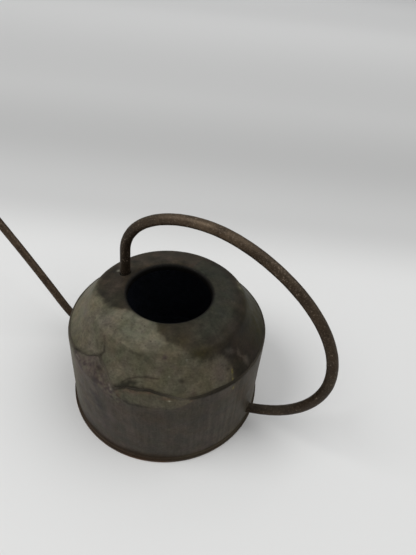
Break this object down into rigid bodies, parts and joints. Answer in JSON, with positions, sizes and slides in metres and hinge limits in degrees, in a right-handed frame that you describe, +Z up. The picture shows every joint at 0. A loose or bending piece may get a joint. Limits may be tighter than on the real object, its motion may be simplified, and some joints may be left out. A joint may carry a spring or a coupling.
{
  "type": "watering can",
  "caption": "Squat sheet-brass watering can with a sloping shoulder, an open round mouth, a long thin spout and a looped round-bar handle, in a dark patina.",
  "frame": {"origin": "centre of the flat underside of the base pan, on the surface the can stands on", "axes": "+Z up along the body's axis, +X towards the grip side of the handle (the spout points along -X), +Y completes a right-handed frame"},
  "size_m": [0.4087, 0.167, 0.1842],
  "materials": {
    "patina_brass": "dark greenish-brown patina, brushed, satin",
    "copper_rim": "worn coppery brown, satin",
    "brown_bar": "oxidised dark brown, mottled, satin",
    "dark_solder": "dull dark solder and braze, slightly rough"
  },
  "bodies": {
    "root": {"base_pan": "copper_rim", "base_seam_solder": "dark_solder", "body_wall": "patina_brass", "wall_seam_braze": "dark_solder", "top_shell": "patina_brass", "shoulder_seam_solder": "dark_solder", "spout_tube": "brown_bar", "spout_root_fillet": "dark_solder", "handle_bar": "brown_bar", "handle_top_fillet": "dark_solder", "handle_bottom_fillet": "dark_solder"}
  },
  "joints": []
}
